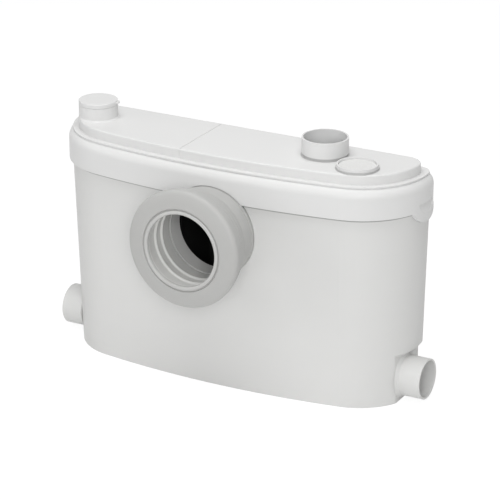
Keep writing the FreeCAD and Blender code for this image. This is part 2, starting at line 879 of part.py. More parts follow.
def impeller():
    low = volute_z + volute_wall + 2.0
    disc_z = low + impeller_height - 3
    disc = cylinder(impeller_radius, disc_z, disc_z + 3, motor_x)
    hub = cylinder(hub_radius, low, disc_z, motor_x)
    solid = disc.fuse(hub)
    for index in range(vane_count):
        vane = box(hub_radius - 1, impeller_radius - 0.5, -vane_thickness / 2,
                   vane_thickness / 2, low, disc_z + 0.5)
        vane.rotate(FreeCAD.Vector(hub_radius, 0, 0), FreeCAD.Vector(0, 0, 1), 25)
        vane = vane.common(cylinder(impeller_radius, low, disc_z + 1))
        vane.rotate(FreeCAD.Vector(0, 0, 0), FreeCAD.Vector(0, 0, 1), 360.0 * index / vane_count)
        vane.translate(FreeCAD.Vector(motor_x, 0, 0))
        solid = solid.fuse(vane)
    return solid.cut(cylinder(shaft_radius, low - 1, disc_z + 5, motor_x)).removeSplitter()


def cutter_blade():
    hub = cylinder(hub_radius, blade_height - blade_hub_drop, blade_height + blade_thickness, motor_x)
    solid = hub
    for angle in (0, 90):
        arm = box(-blade_reach, blade_reach, -blade_width / 2, blade_width / 2,
                  blade_height, blade_height + blade_thickness)
        edge = box(-blade_reach, -blade_reach + 4, -blade_width / 2, blade_width / 2,
                   blade_height - blade_drop, blade_height + blade_thickness)
        arm = arm.fuse(edge).common(cylinder(blade_reach, blade_height - blade_drop,
                                             blade_height + blade_thickness))
        arm.rotate(FreeCAD.Vector(0, 0, 0), FreeCAD.Vector(0, 0, 1), angle)
        arm.translate(FreeCAD.Vector(motor_x, 0, 0))
        solid = solid.fuse(arm)
    bore = cylinder(shaft_radius, blade_height - 10, blade_height + 10, motor_x)
    return solid.cut(bore).removeSplitter()


def blade_collar():
    """Clamp collar that holds the cutter on the shaft from above."""
    low = blade_height + blade_thickness
    return tube(hub_radius, shaft_radius, low, low + 7, motor_x)


def rounded_box(x0, x1, y0, y1, z0, z1, radius):
    solid = box(x0, x1, y0, y1, z0, z1)
    uprights = [e for e in solid.Edges if e.BoundBox.ZLength > (z1 - z0) / 2]
    return solid.makeFillet(radius, uprights)


def basket():
    outer = rounded_box(basket_left, basket_right, basket_front, basket_back,
                        basket_floor, splash_top, basket_corner)
    inner = rounded_box(basket_left + basket_wall, basket_right - basket_wall,
                        basket_front + basket_wall, basket_back - basket_wall,
                        basket_floor + basket_wall, splash_top + 1, basket_corner - basket_wall)
    shell = outer.cut(inner)
    half_inlet = collar_bore + 2
    low_part = box(inlet_x + half_inlet, basket_right + 1, basket_front - 1, basket_back + 1,
                   basket_rim, splash_top + 1)
    doorway = box(basket_left + 8, inlet_x + half_inlet + 1, basket_front - 1, basket_back - 20,
                  basket_rim + doorway_rise, splash_top + 1)
    shell = shell.cut(low_part).cut(doorway)
    x = basket_left + slot_pitch
    while x < basket_right - slot_pitch:
        for y0, y1 in ((basket_front - 1, basket_front + basket_wall + 1),
                       (basket_back - basket_wall - 1, basket_back + 1)):
            shell = shell.cut(box(x, x + slot_width, y0, y1, basket_floor + 8, basket_rim - 8))
        if abs(x + slot_width / 2 - motor_x) > cover_boss + slot_width:
            for y0 in (basket_front + 10, 4):
                shell = shell.cut(box(x, x + slot_width, y0, y0 + floor_slot_length, basket_floor - 1,
                                      basket_floor + basket_wall + 1))
        x += slot_pitch
    shell = shell.cut(cylinder(hub_radius + 3, basket_floor - 1, basket_floor + 5, motor_x))
    for y in (basket_front + 12, basket_back - 12):
        shell = shell.fuse(cylinder(4.0, tank_wall, basket_floor + 1, basket_left + 12, y))
    return shell.removeSplitter()


def bend(x0, z0, turn_x, turn_z, outer, inner, centre_x, centre_z, sense):
    """A quarter bend of pipe in the plane y = 0, about an axis along +Y or -Y."""
    def ring(radius):
        circle = Part.Circle(FreeCAD.Vector(x0, 0, z0), FreeCAD.Vector(turn_x, 0, turn_z), radius)
        return Part.Face(Part.Wire([circle.toShape()]))
    axis = FreeCAD.Vector(0, sense, 0)
    solid = ring(outer).revolve(FreeCAD.Vector(centre_x, 0, centre_z), axis, 90)
    return solid.cut(ring(inner).revolve(FreeCAD.Vector(centre_x, 0, centre_z), axis, 90))


def pump_elbow():
    """Bend from the pump's nozzle up into the valve."""
    start_x = riser_x - bend_radius
    inner = pipe_radius - pipe_wall
    centre_z = nozzle_height + bend_radius
    curve = bend(start_x, nozzle_height, 1, 0, pipe_radius, inner, start_x, centre_z, -1)
    straight = tube(pipe_radius, inner, centre_z, valve_bottom, riser_x)
    return fuse(curve, straight)


def valve_body():
    outer = cylinder(valve_radius, valve_bottom, valve_top, riser_x)
    room = cylinder(valve_radius - pipe_wall, valve_seat_z, valve_top - 3, riser_x)
    bore = cylinder(pipe_radius - pipe_wall, valve_bottom - 1, valve_top + 1, riser_x)
    solid = outer.cut(room).cut(bore)
    return solid.cut(valve_pin_hole())


def valve_pin_hole():
    return rod_y(1.0, -valve_radius - 1, valve_radius + 1, valve_pivot_x, valve_pivot_z)


def valve_pin():
    half = math.sqrt(valve_radius ** 2 - (valve_pivot_x - riser_x) ** 2) - 0.5
    return rod_y(1.0, -half, half, valve_pivot_x, valve_pivot_z)


def discharge_flap():
    radius = pipe_radius - pipe_wall + 1.8
    disc = cylinder(radius, valve_seat_z + 0.3, valve_seat_z + 2.3, riser_x + 0.6)
    arm = box(valve_pivot_x, riser_x, -3, 3, valve_seat_z + 0.6, valve_seat_z + 2.6)
    knuckle = rod_y(1.9, -3, 3, valve_pivot_x, valve_pivot_z)
    solid = disc.fuse(arm).fuse(knuckle)
    return solid.cut(rod_y(1.0 + running_fit, -4, 4, valve_pivot_x, valve_pivot_z)).removeSplitter()


def riser_pipe():
    """Pipe from the valve up and across to the ring in the lid."""
    inner = pipe_radius - pipe_wall
    low = valve_top
    top = crossover_height - bend_radius
    up = tube(pipe_radius, inner, low, top, riser_x)
    first = bend(riser_x, top, 0, 1, pipe_radius, inner, riser_x - bend_radius, top, -1)
    reach = math.hypot(riser_x - discharge_x, discharge_y)
    far_x = riser_x - reach
    left = far_x + bend_radius
    right = riser_x - bend_radius
    across = rod_x(pipe_radius, left, right, 0, crossover_height)
    across = across.cut(rod_x(inner, left - 1, right + 1, 0, crossover_height))
    shapes = [up, first, across]
    last_z = crossover_height + bend_radius
    shapes.append(bend(left, crossover_height, -1, 0, pipe_radius, inner, left, last_z, 1))
    shapes.append(tube(pipe_radius, inner, last_z, socket_bottom, far_x))
    flange = tube(socket_flange_radius, inner, socket_bottom - 3, socket_bottom, far_x)
    solid = fuse(*shapes, flange)
    heading = -math.degrees(math.atan2(discharge_y, riser_x - discharge_x))
    solid.rotate(FreeCAD.Vector(riser_x, 0, 0), FreeCAD.Vector(0, 0, 1), heading)
    return solid


def riser_sleeve():
    """Rubber joint over the riser just above the valve."""
    low = valve_top + 20
    outer = pipe_radius + sleeve_thickness
    return tube(outer, pipe_radius + 0.05, low, low + sleeve_length_riser, riser_x)


def hose_clips():
    low = valve_top + 20
    inner = pipe_radius + sleeve_thickness
    clips = []
    for z in (low + 3, low + sleeve_length_riser - 3 - clip_width):
        band = tube(inner + clip_thickness, inner, z, z + clip_width, riser_x)
        worm = rod_y(3.0, -6, 6, riser_x + inner + clip_thickness + 2.5, z + clip_width / 2)
        tongue = box(riser_x + inner + 0.2, riser_x + inner + clip_thickness + 1.5, -4, 4, z,
                     z + clip_width)
        clips.append(fuse(band, tongue.cut(cylinder(inner, z - 1, z + 20, riser_x)), worm))
    return Part.makeCompound(clips)


def inlet_flap():
    disc = rod_x(flap_radius, flap_x - flap_thickness, flap_x, spigot_y, spigot_height)
    boss = rod_x(flap_boss_radius, flap_x - flap_thickness - flap_boss, flap_x - flap_thickness,
                 spigot_y, spigot_height)
    half = knuckle_length / 2
    knuckle = rod_y(flap_knuckle_radius, spigot_y - half, spigot_y + half, pivot_x, pivot_z)
    arm = box(pivot_x - 1.0, flap_x, spigot_y - half, spigot_y + half,
              spigot_height + flap_radius - 6, pivot_z)
    arm = arm.cut(rod_y(pin_radius + running_fit, spigot_y - 20, spigot_y + 20, pivot_x, pivot_z))
    solid = fuse(disc, boss, arm, knuckle)
    hole = rod_y(pin_radius + running_fit, spigot_y - 20, spigot_y + 20, pivot_x, pivot_z)
    return solid.cut(hole)


def flap_pin():
    half = knuckle_length / 2 + ear_gap + ear_thickness
    return rod_y(pin_radius, spigot_y - half, spigot_y + half, pivot_x, pivot_z)


def service_deck():
    plate = box(deck_left, deck_right, deck_front, deck_back, deck_height,
                deck_height + deck_thickness)
    return plate.cut(cylinder(tube_radius, deck_height - 1, chamber_z + 1, chamber_x, chamber_y))


def deck_screws():
    screws = []
    for x in (deck_left + deck_screw_left, deck_right - deck_screw_right):
        for y in (deck_front + deck_screw_edge, deck_back - deck_screw_edge):
            screws.append(cylinder(screw_head_radius, chamber_z, chamber_z + screw_head_height,
                                   x, y))
    return Part.makeCompound(screws)


def dip_tube():
    return tube(tube_radius, tube_radius - tube_wall, tube_bottom, chamber_z, chamber_x, chamber_y)


def pressure_chamber():
    top = chamber_z + chamber_height
    outer = cylinder(chamber_radius, chamber_z, top - membrane_thickness, chamber_x, chamber_y)
    inner = cylinder(chamber_radius - 3, chamber_z + 3, top + 1, chamber_x, chamber_y)
    return outer.cut(inner).cut(cylinder(tube_radius - tube_wall, chamber_z - 1, chamber_z + 4,
                                         chamber_x, chamber_y))


def membrane():
    top = chamber_z + chamber_height
    return cylinder(chamber_radius, top - membrane_thickness, top, chamber_x, chamber_y)


def switch_frame():
    """Cage over the membrane that guides the plunger and carries the switch."""
    low = frame_z
    ring = tube(chamber_radius, chamber_radius - 4, low, low + 3, chamber_x, chamber_y)
    bridge = box(chamber_x - chamber_radius + 1, chamber_x + chamber_radius - 1, chamber_y - 6,
                 chamber_y + 6, low + frame_height - 2, low + frame_height)
    solid = ring.fuse(bridge)
    for side in (-1, 1):
        x = chamber_x + side * (chamber_radius - 2.5)
        solid = solid.fuse(box(x - 1.5, x + 1.5, chamber_y - 6, chamber_y + 6, low,
                               low + frame_height))
    hole = cylinder(plunger_radius + 0.3, low, low + frame_height + 1, chamber_x, chamber_y)
    return solid.cut(hole).removeSplitter()


def switch_plunger():
    flange = cylinder(plunger_flange_radius, frame_z, frame_z + 2, chamber_x, chamber_y)
    stem_top = frame_z + frame_height + 1
    stem = cylinder(plunger_radius, frame_z, stem_top, chamber_x, chamber_y)
    tip = cylinder(plunger_tip_radius, stem_top, stem_top + plunger_tip, chamber_x, chamber_y)
    return fuse(flange, stem, tip)


def switch_spring():
    low = frame_z + 2 + spring_wire
    high = frame_z + frame_height - 2 - spring_wire
    helix = Part.makeHelix((high - low) / spring_turns, high - low, spring_radius)
    corners = []
    for index in range(spring_sides):
        angle = 2 * math.pi * (index + 0.5) / spring_sides
        corners.append(FreeCAD.Vector(spring_radius + spring_wire * math.cos(angle), 0,
                                      spring_wire * math.sin(angle)))
    section = Part.makePolygon(corners + [corners[0]])
    coil = Part.Wire(helix.Edges).makePipeShell([section], True, True)
    coil.translate(FreeCAD.Vector(chamber_x, chamber_y, low))
    return coil


def microswitch():
    body_left = lever_pivot_x - 9
    body = box(body_left, lever_pivot_x - 3.2, chamber_y - 5, chamber_y + 5,
               frame_z + frame_height, lever_z + 7)
    foot = box(body_left, chamber_x - 8, chamber_y - 5, chamber_y + 5,
               frame_z + frame_height, frame_z + frame_height + 1.6)
    solid = body.fuse(foot)
    for y0 in (chamber_y - 5, chamber_y + 3.4):
        cheek = box(lever_pivot_x - 4, lever_pivot_x + 2.4, y0, y0 + 1.6,
                    frame_z + frame_height, lever_z + 3)
        solid = solid.fuse(cheek)
    pin = rod_y(0.8, chamber_y - 5, chamber_y + 5, lever_pivot_x, lever_z + 0.5)
    return solid.fuse(pin).removeSplitter()


def switch_lever():
    arm = box(lever_pivot_x, chamber_x + 4, chamber_y - lever_width / 2,
              chamber_y + lever_width / 2, lever_z, lever_z + lever_thickness)
    knuckle = rod_y(1.8, chamber_y - lever_width / 2, chamber_y + lever_width / 2, lever_pivot_x,
                    lever_z + 0.5)
    hole = rod_y(0.8 + running_fit, chamber_y - 10, chamber_y + 10, lever_pivot_x, lever_z + 0.5)
    return fuse(arm, knuckle).cut(hole)


def capacitor():
    z = chamber_z + capacitor_radius
    can = rod_x(capacitor_radius, capacitor_x, capacitor_x + capacitor_length, capacitor_y, z)
    studs = []
    for offset in (-5, 5):
        studs.append(rod_x(1.6, capacitor_x + capacitor_length,
                           capacitor_x + capacitor_length + 6, capacitor_y + offset, z))
    return fuse(can, *studs)


def capacitor_clip():
    """A C-shaped strap over the capacitor, with a foot on each side."""
    z = chamber_z + capacitor_radius
    middle = capacitor_x + capacitor_length / 2
    x0, x1 = middle - clip_half_width, middle + clip_half_width
    outer = capacitor_radius + strap_thickness
    band = rod_x(outer, x0, x1, capacitor_y, z)
    foot = box(x0, x1, capacitor_y - outer - strap_foot, capacitor_y + outer, chamber_z,
               chamber_z + strap_thickness)
    solid = band.fuse(foot).common(box(x0, x1, capacitor_y - 2 * outer, capacitor_y + 2 * outer,
                                       chamber_z, z + outer))
    solid = solid.cut(rod_x(capacitor_radius, x0 - 1, x1 + 1, capacitor_y, z))
    opening = capacitor_radius * 0.6
    return solid.cut(box(x0 - 1, x1 + 1, capacitor_y - opening, capacitor_y + opening,
                         chamber_z - 1, z)).removeSplitter()


def terminal_block():
    x0 = terminal_x - terminal_length / 2
    y0 = terminal_y - terminal_width / 2
    body = box(x0, x0 + terminal_length, y0, y0 + terminal_width, chamber_z,
               chamber_z + terminal_height)
    for index in range(3):
        x = x0 + terminal_length * (index + 0.5) / 3
        body = body.cut(cylinder(2.4, chamber_z + 6, chamber_z + terminal_height + 1, x,
                                 terminal_y))
    return body


def cable_gland():
    outside = rod_y(gland_flange_radius, back_y, back_y + gland_flange, gland_x, gland_height)
    neck = rod_y(gland_radius, back_y - tank_wall, back_y, gland_x, gland_height)
    inside = rod_y(gland_radius + 2, back_y - tank_wall - gland_flange, back_y - tank_wall,
                   gland_x, gland_height)
    bore = rod_y(cable_radius, back_y - 20, back_y + 20, gland_x, gland_height)
    return fuse(outside, neck, inside).cut(bore)


nodes = {
    "tank": tank,
    "lid": lid,
    "lid_gasket": lid_gasket,
    "vent_filter": vent_filter,
    "inlet_cap": inlet_cap,
    "pan_sleeve": pan_sleeve,
    "basket": basket,
    "pump_feet": pump_feet,
    "volute": volute,
    "pump_cover": pump_cover,
    "pump_screws": pump_screws,
    "impeller": impeller,
    "motor_bracket": motor_bracket,
    "shaft_seal": shaft_seal,
    "motor_end_plate": motor_end_plate,
    "motor_can": motor_can,
    "stator": stator,
    "stator_windings": stator_windings,
    "lower_bearing": lower_bearing,
    "upper_bearing": upper_bearing,
    "rotor_core": rotor_core,
    "motor_shaft": motor_shaft,
    "cutter_blade": cutter_blade,
    "blade_collar": blade_collar,
    "pump_elbow": pump_elbow,
    "valve_body": valve_body,
    "valve_pin": valve_pin,
    "discharge_flap": discharge_flap,
    "riser_pipe": riser_pipe,
    "riser_sleeve": riser_sleeve,
    "hose_clips": hose_clips,
    "inlet_flap_right": inlet_flap,
    "flap_pin_right": flap_pin,
    "service_deck": service_deck,
    "deck_screws": deck_screws,
    "dip_tube": dip_tube,
    "pressure_chamber": pressure_chamber,
    "membrane": membrane,
    "switch_frame": switch_frame,
    "switch_plunger": switch_plunger,
    "switch_spring": switch_spring,
    "microswitch": microswitch,
    "switch_lever": switch_lever,
    "capacitor": capacitor,
    "capacitor_clip": capacitor_clip,
    "terminal_block": terminal_block,
    "cable_gland": cable_gland,
}

os.makedirs("parts", exist_ok=True)
for name, make in nodes.items():
    make().exportStep(os.path.join("parts", name + ".step"))
for name, make in (("inlet_flap_left", inlet_flap), ("flap_pin_left", flap_pin)):
    mirrored(make()).exportStep(os.path.join("parts", name + ".step"))
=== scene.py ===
import json
import math

import bmesh
import bpy
from bpy.props import FloatProperty, FloatVectorProperty, IntProperty, PointerProperty
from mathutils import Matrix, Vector


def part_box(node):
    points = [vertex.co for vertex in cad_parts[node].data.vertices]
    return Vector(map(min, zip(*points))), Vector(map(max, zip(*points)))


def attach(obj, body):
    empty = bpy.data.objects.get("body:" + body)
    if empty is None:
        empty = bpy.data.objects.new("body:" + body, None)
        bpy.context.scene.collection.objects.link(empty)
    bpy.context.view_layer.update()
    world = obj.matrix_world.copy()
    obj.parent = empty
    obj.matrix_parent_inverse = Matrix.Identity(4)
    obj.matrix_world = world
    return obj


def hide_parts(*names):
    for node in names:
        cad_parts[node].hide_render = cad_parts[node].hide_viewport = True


bl_info = {
    "name": "Grey Water Pump",
    "version": (1, 0, 0),
    "blender": (4, 5, 0),
    "location": "3D View > Sidebar > Pump",
    "description": "Dresses a slim pan and grey water lifting pump and sets up its studio",
    "category": "Object",
}

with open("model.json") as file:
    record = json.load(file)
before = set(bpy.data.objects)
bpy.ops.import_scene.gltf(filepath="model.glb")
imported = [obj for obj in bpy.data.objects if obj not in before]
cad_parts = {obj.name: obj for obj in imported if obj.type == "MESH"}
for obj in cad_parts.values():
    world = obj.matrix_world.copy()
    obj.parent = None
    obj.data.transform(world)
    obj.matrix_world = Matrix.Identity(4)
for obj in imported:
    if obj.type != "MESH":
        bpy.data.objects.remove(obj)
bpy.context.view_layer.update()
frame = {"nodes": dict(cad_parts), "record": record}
MM = 0.001
WHITE = (1.0, 1.0, 1.0, 1.0)

# The axes that along() takes, by number
Y, Z = 1, 2

# The pan sleeve's axis runs along Y, from the tank at its high end to the lip at its low end
SLEEVE_LOW, SLEEVE_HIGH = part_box("pan_sleeve")
SLEEVE_CENTRE = ((SLEEVE_LOW.x + SLEEVE_HIGH.x) / 2, 0.0, (SLEEVE_LOW.z + SLEEVE_HIGH.z) / 2)

# Painted light in the sleeve, lightening its inside as if more light reached it: its axis, the
# radius that it stays within in the throat and on the lip, and where along Y the throat begins
THROAT_PAINTED_LIGHT = (SLEEVE_CENTRE, 0.0470, 0.0437, SLEEVE_LOW.y + 0.0030)

# Painted shade on the mouldings, standing in for the shadow under the lid's edge and round the
# rings' feet: the height it starts at on the tank, just under the lid, and the x, y, radius and
# foot of the discharge ring and the vent ring that it lies round
SEAM_SHADE_HEIGHT = 0.2129
RING_FEET = ((0.1016, 0.0105, 0.0249, 0.2619), (0.1500, -0.0117, 0.0224, 0.2619))
# How far the painted shade round a ring's foot reaches inside its radius, and below its foot
FOOT_SHADE_INSIDE = 0.0018
FOOT_SHADE_BELOW = 0.0008

# Ramps over a distance: a thin line with soft sides, and one soft edge
LINE = [(0.0, 0.0), (0.3, 1.0), (0.75, 1.0), (1.0, 0.0)]
EDGE = [(0.0, 0.0), (1.0, 1.0)]

# Features per metre along each axis of the fine lines on metal
LINES_UP = (700.0, 700.0, 90.0)
LINES_ACROSS = (60.0, 900.0, 900.0)

# The floor: its paper, how much of it glows to the eye and how brightly, and its corners
PAPER = (0.90, 0.90, 0.90)
GLOW_SHARE = 0.84
GLOW = 1.1
FLOOR_CORNERS = 96

# How far the camera sees
FARTHEST = 20.0

# Runs in a rounded corner, and the most of a side that a corner may take up
CURVE_STEPS = 6
CURVE_SHARE = 0.48


def tint(name, note, colour):
    return FloatVectorProperty(name=name, description=note, default=colour, subtype="COLOR",
                               size=3, min=0.0, max=1.0)


def length(name, note, size):
    return FloatProperty(name=name, description=note, default=size, unit="LENGTH",
                         subtype="DISTANCE")


class PumpColours(bpy.types.PropertyGroup):
    """Colours of the pump's finishes."""

    tank: tint("Tank", "Moulded tank with its end sockets", (0.70, 0.70, 0.69))
    lid: tint("Lid", "Moulded lid with its rings", (0.72, 0.72, 0.715))
    cap: tint("Cap", "Cap of the top inlet", (0.70, 0.70, 0.695))
    sleeve: tint("Pan sleeve", "Rubber sleeve of the pan inlet", (0.45, 0.45, 0.44))
    foam: tint("Vent foam", "Filter in the vent ring", (0.72, 0.72, 0.71))
    seal: tint("Seals", "Black rubber seals", (0.03, 0.03, 0.03))
    basket: tint("Basket", "Moulded basket and splash guard", (0.02, 0.02, 0.02))
    pump: tint("Pump plastic", "Housing, bracket, valve and deck", (0.055, 0.055, 0.06))
    motor: tint("Motor paint", "Painted motor can", (0.10, 0.115, 0.135))
    steel: tint("Steel", "Screws, pins, clips and shaft", (0.62, 0.62, 0.63))
    iron: tint("Stator iron", "Laminated stator and rotor", (0.22, 0.22, 0.23))
    copper: tint("Winding", "Varnished copper winding", (0.62, 0.27, 0.11))
    pipe: tint("Pipe plastic", "Grey discharge pipe and bend", (0.30, 0.31, 0.32))
    switch: tint("Switch plastic", "Black switch parts", (0.03, 0.03, 0.035))
    shell: tint("Capacitor shell", "Drawn aluminium can", (0.75, 0.75, 0.76))
    terminal: tint("Terminal block", "Ivory terminal block", (0.78, 0.75, 0.64))


class PumpSleeve(bpy.types.PropertyGroup):
    """Sizes of the rubber sleeve round the pan inlet."""

    band: length("Band", "Radius of the flat band beside the tank", 0.0505)
    waist: length("Waist", "Radius of the waist", 0.0536)
    shoulder: length("Shoulder", "Radius of the step behind the dome", 0.0614)
    dome: length("Dome", "Largest radius of the dome", 0.0649)
    lip: length("Lip", "Radius of the round lip", 0.0424)
    bore: length("Bore", "Clear radius through the lip", 0.0396)
    throat: length("Throat", "Radius of the folded-back tube", 0.0452)
    steps: IntProperty(name="Steps round", description="Faces round the sleeve", default=224)


class PumpStudio(bpy.types.PropertyGroup):
    """Camera and light."""

    lens: FloatProperty(name="Lens", description="Focal length", default=187.2, unit="CAMERA")
    eye: FloatVectorProperty(name="Camera place", description="Where the camera stands",
                             default=(1.24641, -2.28186, 1.17229), subtype="TRANSLATION")
    yaw: FloatProperty(name="Yaw", description="Turn of the view about the vertical",
                       default=0.4938, subtype="ANGLE")
    pitch: FloatProperty(name="Pitch", description="Downward tilt of the view",
                         default=0.3783, subtype="ANGLE")
    world: FloatProperty(name="Room light", description="Even light from all round",
                         default=0.34, min=0.0)
    top: FloatProperty(name="Top light", description="Power of the overhead softbox",
                       default=16.0, unit="POWER")
    front: FloatProperty(name="Front light", description="Power of the softbox by the camera",
                         default=24.0, unit="POWER")
    side: FloatProperty(name="Side light", description="Power of the softbox at the front left",
                        default=5.0, unit="POWER")
    floor: length("Floor", "Radius of the floor", 4.0)


class Value:
    """One socket of a finish, so that its sums read as expressions."""

    def __init__(self, finish, socket):
        self.finish = finish
        self.socket = socket

    def maths(self, operation, *terms):
        return self.finish.node("ShaderNodeMath", {"operation": operation}, list(terms))

    def larger(self, other):
        return self.maths("MAXIMUM", self, other)

    def __add__(self, other):
        return self.maths("ADD", self, other)

    def __sub__(self, other):
        return self.maths("SUBTRACT", self, other)

    def __rsub__(self, other):
        return self.maths("SUBTRACT", other, self)

    def __mul__(self, other):
        return self.maths("MULTIPLY", self, other)

    __radd__ = __add__
    __rmul__ = __mul__


class Finish:
    """A material, or the surroundings, made of nodes."""

    def __init__(self, owner):
        owner.use_nodes = True
        self.owner = owner
        self.tree = owner.node_tree
        self.tree.nodes.clear()
        self.place = self.node("ShaderNodeTexCoord", output="Object")

    def node(self, kind, settings=None, inputs=None, output=0):
        """Adds a node: first its settings, then its sockets by name or number."""
        made = self.tree.nodes.new(kind)
        for name, value in (settings or {}).items():
            if name == "stops":
                ramp = made.color_ramp.elements
                while len(ramp) < len(value):
                    ramp.new(0.5)
                for stop, (position, level) in zip(ramp, value):
                    stop.position = position
                    stop.color = (level, level, level, 1.0)
            else:
                setattr(made, name, value)
        pairs = inputs.items() if isinstance(inputs, dict) else enumerate(inputs or [])
        for key, value in pairs:
            if isinstance(value, Value):
                self.tree.links.new(value.socket, made.inputs[key])
            else:
                made.inputs[key].default_value = value
        return Value(self, made.outputs[output])

    def stretched(self, x, y, z):
        """Object place with each axis scaled, for grain that runs one way."""
        return self.node("ShaderNodeVectorMath", {"operation": "MULTIPLY"},
                         [self.place, (x, y, z)])

    def noise(self, scale, detail, place=None):
        """Soft noise from 0 to 1, scale in features per metre, detail in finer layers."""
        return self.node("ShaderNodeTexNoise", None,
                         {"Vector": place or self.place, "Scale": scale, "Detail": detail})

    def cells(self, scale):
        """Distance to the nearest of many scattered points, scale in points per metre."""
        return self.node("ShaderNodeTexVoronoi", None, {"Vector": self.place, "Scale": scale})

    def bands(self, scale, distortion):
        """Level bands one above the other, such as sheets or turns of wire."""
        return self.node("ShaderNodeTexWave", {"bands_direction": "Z"},
                         {"Vector": self.place, "Scale": scale, "Distortion": distortion})

    def from_upright(self, centre):
        """Distance from the upright axis through centre, whose z is 0."""
        return self.node("ShaderNodeVectorMath", {"operation": "DISTANCE"},
                         [self.stretched(1.0, 1.0, 0.0), centre], 1)

    def from_level(self, centre):
        """Distance from the axis along Y through centre, whose y is 0."""
        return self.node("ShaderNodeVectorMath", {"operation": "DISTANCE"},
                         [self.stretched(1.0, 0.0, 1.0), centre], 1)

    def along(self, axis):
        """Object place along one axis, by its number."""
        return self.node("ShaderNodeSeparateXYZ", None, [self.place], axis)

    def ramp(self, value, stops):
        return self.node("ShaderNodeValToRGB", {"stops": stops}, [value])

    def line(self, distance, rate):
        """A thin line with soft sides, from distance 0 to 1 / rate metres."""
        return self.ramp(distance * rate, LINE)

    def edge(self, distance, rate):
        """0 up to distance 0, rising to 1 at 1 / rate metres."""
        return self.ramp(distance * rate, EDGE)

    def mix(self, factor, first, second):
        """Mix of two colours. The node's sockets share names, so they go by number."""
        return self.node("ShaderNodeMix", {"data_type": "RGBA"},
                         {0: factor, 6: first, 7: second}, 2)

    def mix_levels(self, factor, first, second):
        """Mix of two plain numbers."""
        return self.node("ShaderNodeMix", None, {0: factor, 2: first, 3: second})

    def shades(self, factor, colour, dark, light):
        """Colour that runs from a darker to a lighter shade of itself."""
        return self.mix(factor, shade(colour, dark), shade(colour, light))

    def bump(self, height, strength, distance):
        """Normals of a fine relief that is distance metres deep."""
        return self.node("ShaderNodeBump", None,
                         {"Height": height, "Strength": strength, "Distance": distance})

    def surface(self, colour, roughness, normal, **fixed):
        """Finishes the material with one shader; fixed names its constant sockets."""
        inputs = {"Base Color": colour, "Roughness": roughness, "Normal": normal}
        for name, value in fixed.items():
            inputs[name.replace("_", " ")] = value
        return self.shown(self.node("ShaderNodeBsdfPrincipled", None, inputs))

    def shown(self, shader, end="ShaderNodeOutputMaterial"):
        """Leads the shader to the output, and gives back the material or surroundings."""
        self.tree.links.new(shader.socket, self.tree.nodes.new(end).inputs["Surface"])
        return self.owner


def finish_named(name):
    return Finish(bpy.data.materials.new(name))


def shade(colour, level):
    """The colour darker or lighter by a factor."""
    return tuple(min(1.0, part * level) for part in colour) + (1.0,)


def moulded(name, colour, roughness, grain=0.05, cloud=0.02, painted_shade_from=None, feet=(),
            gloss=0.25):
    """Satin injection-moulded plastic with an eroded grain and faint flow marks.

    Painted shade, standing in for the shadow under the lid's edge, lies in a thin line from the
    height given up, and round the rings' feet."""
    finish = finish_named(name)
    clouds = finish.noise(9.0, detail=4.0)
    flow = finish.noise(1.0, detail=5.0, place=finish.stretched(14.0, 14.0, 55.0))
    skin = finish.noise(1900.0, detail=2.0)
    pores = finish.ramp(finish.cells(1100.0), [(0.0, 0.0), (0.35, 1.0)])
    tone = clouds * 0.6 + flow * 0.4
    body = finish.shades(tone, colour, 1.0 - cloud, 1.0 + cloud)
    # Painted shade: a thin dark line on the tank just under the lid's edge, where its shadow
    # falls
    if painted_shade_from:
        dust_and_painted_shade = finish.line(finish.along(Z) - painted_shade_from, 400.0)
        body = finish.mix(dust_and_painted_shade * 0.62, body, shade(colour, 0.25))
    # Painted shade round each ring's foot, where shadow falls in the crease between ring and lid
    for x, y, radius, foot in feet:
        beside = finish.from_upright((x, y, 0.0)) - (radius - FOOT_SHADE_INSIDE)
        above = finish.along(Z) - foot + FOOT_SHADE_BELOW
        dust_and_painted_shade = finish.line(beside, 330.0) * finish.line(above, 260.0)
        body = finish.mix(dust_and_painted_shade * 0.5, body, shade(colour, 0.30))
    rough = roughness - 0.05 + flow * 0.06 + skin * 0.05
    height = skin * 0.7 + pores * 0.3
    return finish.surface(body, rough, finish.bump(height, grain, 0.00012),
                          Specular_IOR_Level=gloss)


def rubber(name, colour, roughness, bloom, painted_light=None):
    """Matt rubber with a fine skin, a pale bloom and small specks.

    Painted light lies thick in a throat along Y, and thinly on its lip, lightening the inside as
    if more light reached it."""
    finish = finish_named(name)
    patches = finish.noise(32.0, detail=6.0)
    haze = finish.noise(110.0, detail=3.0)
    skin = finish.noise(1300.0, detail=3.0)
    specks = finish.ramp(finish.cells(420.0), [(0.0, 1.0), (0.09, 0.0)])
    body = finish.shades(patches * 0.7 + haze * 0.3, colour, 1.0 - bloom, 1.0 + bloom)
    body = finish.mix(specks * 0.10, body, shade(colour, 0.72))
    # Painted light: the inside of the throat and the lip's inner face are made paler, as if lit
    if painted_light:
        centre, throat, lip, start = painted_light
        reach = finish.from_level(centre)
        thick = finish.edge(throat - reach, 900.0) * finish.edge(finish.along(Y) - start, 900.0)
        thin = finish.edge(lip - reach, 1500.0) * 0.2
        body = finish.mix(thick.larger(thin) * (0.8 + haze * 0.2), body, shade(colour, 1.75))
    rough = roughness - 0.04 + patches * 0.08
    return finish.surface(body, rough, finish.bump(skin, 0.12, 0.00015),
                          Specular_IOR_Level=0.4)


def metal(name, colour, roughness, lie):
    """Drawn or turned metal with fine lines along one axis."""
    finish = finish_named(name)
    lines = finish.noise(1.0, detail=4.0, place=finish.stretched(*lie))
    dull = finish.noise(60.0, detail=4.0)
    body = finish.shades(dull, colour, 0.86, 1.04)
    rough = roughness - 0.08 + lines * 0.12 + dull * 0.08
    return finish.surface(body, rough, finish.bump(lines, 0.10, 0.0001), Metallic=1.0)


